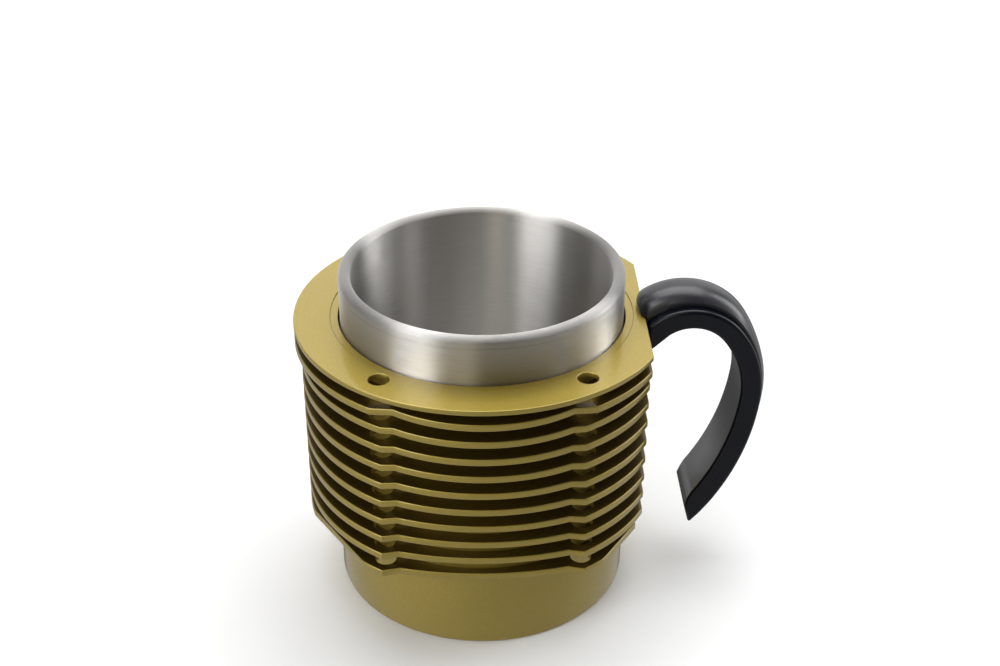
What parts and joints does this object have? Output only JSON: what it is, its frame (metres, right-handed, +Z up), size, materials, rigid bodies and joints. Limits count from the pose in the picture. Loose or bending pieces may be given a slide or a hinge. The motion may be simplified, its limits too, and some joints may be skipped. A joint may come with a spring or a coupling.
{
  "type": "engine cylinder mug",
  "caption": "Drinking mug shaped like an air-cooled engine cylinder: finned body with a top flange, lift-out double-wall steel cup and an open hook handle.",
  "frame": {"origin": "centre of the underside of the foot pad, where the mug stands", "axes": "+Z up along the cup's axis, +X towards the handle, -Y the side seen in front"},
  "size_m": [0.1433, 0.1124, 0.1052],
  "materials": {
    "olive_gold_paint": "satin",
    "brushed_steel": "satin",
    "zinc_plated_steel": "satin",
    "black_satin_coat": "satin",
    "charcoal_satin_coat": "satin",
    "black_rubber": "matte",
    "grey_silicone": "satin"
  },
  "bodies": {
    "body": {"finned_cylinder": "olive_gold_paint", "cup_seal_ring": "black_rubber", "cup_cushion_ring": "grey_silicone", "base_plate": "olive_gold_paint", "base_screw_1": "zinc_plated_steel", "base_screw_2": "zinc_plated_steel", "base_screw_3": "zinc_plated_steel", "base_screw_4": "zinc_plated_steel", "foot_pad": "black_rubber", "handle_bar": "black_satin_coat", "handle_strip": "charcoal_satin_coat", "handle_screw_1": "zinc_plated_steel", "handle_screw_2": "zinc_plated_steel"},
    "cup": {"cup_liner": "brushed_steel", "cup_jacket": "brushed_steel", "cup_bottom_disc": "brushed_steel"}
  },
  "joints": [
    {"name": "cup_lift", "type": "slide", "parent": "body", "child": "cup", "axis": [0, 0, 1], "range_m": [0, 0.09]}
  ]
}
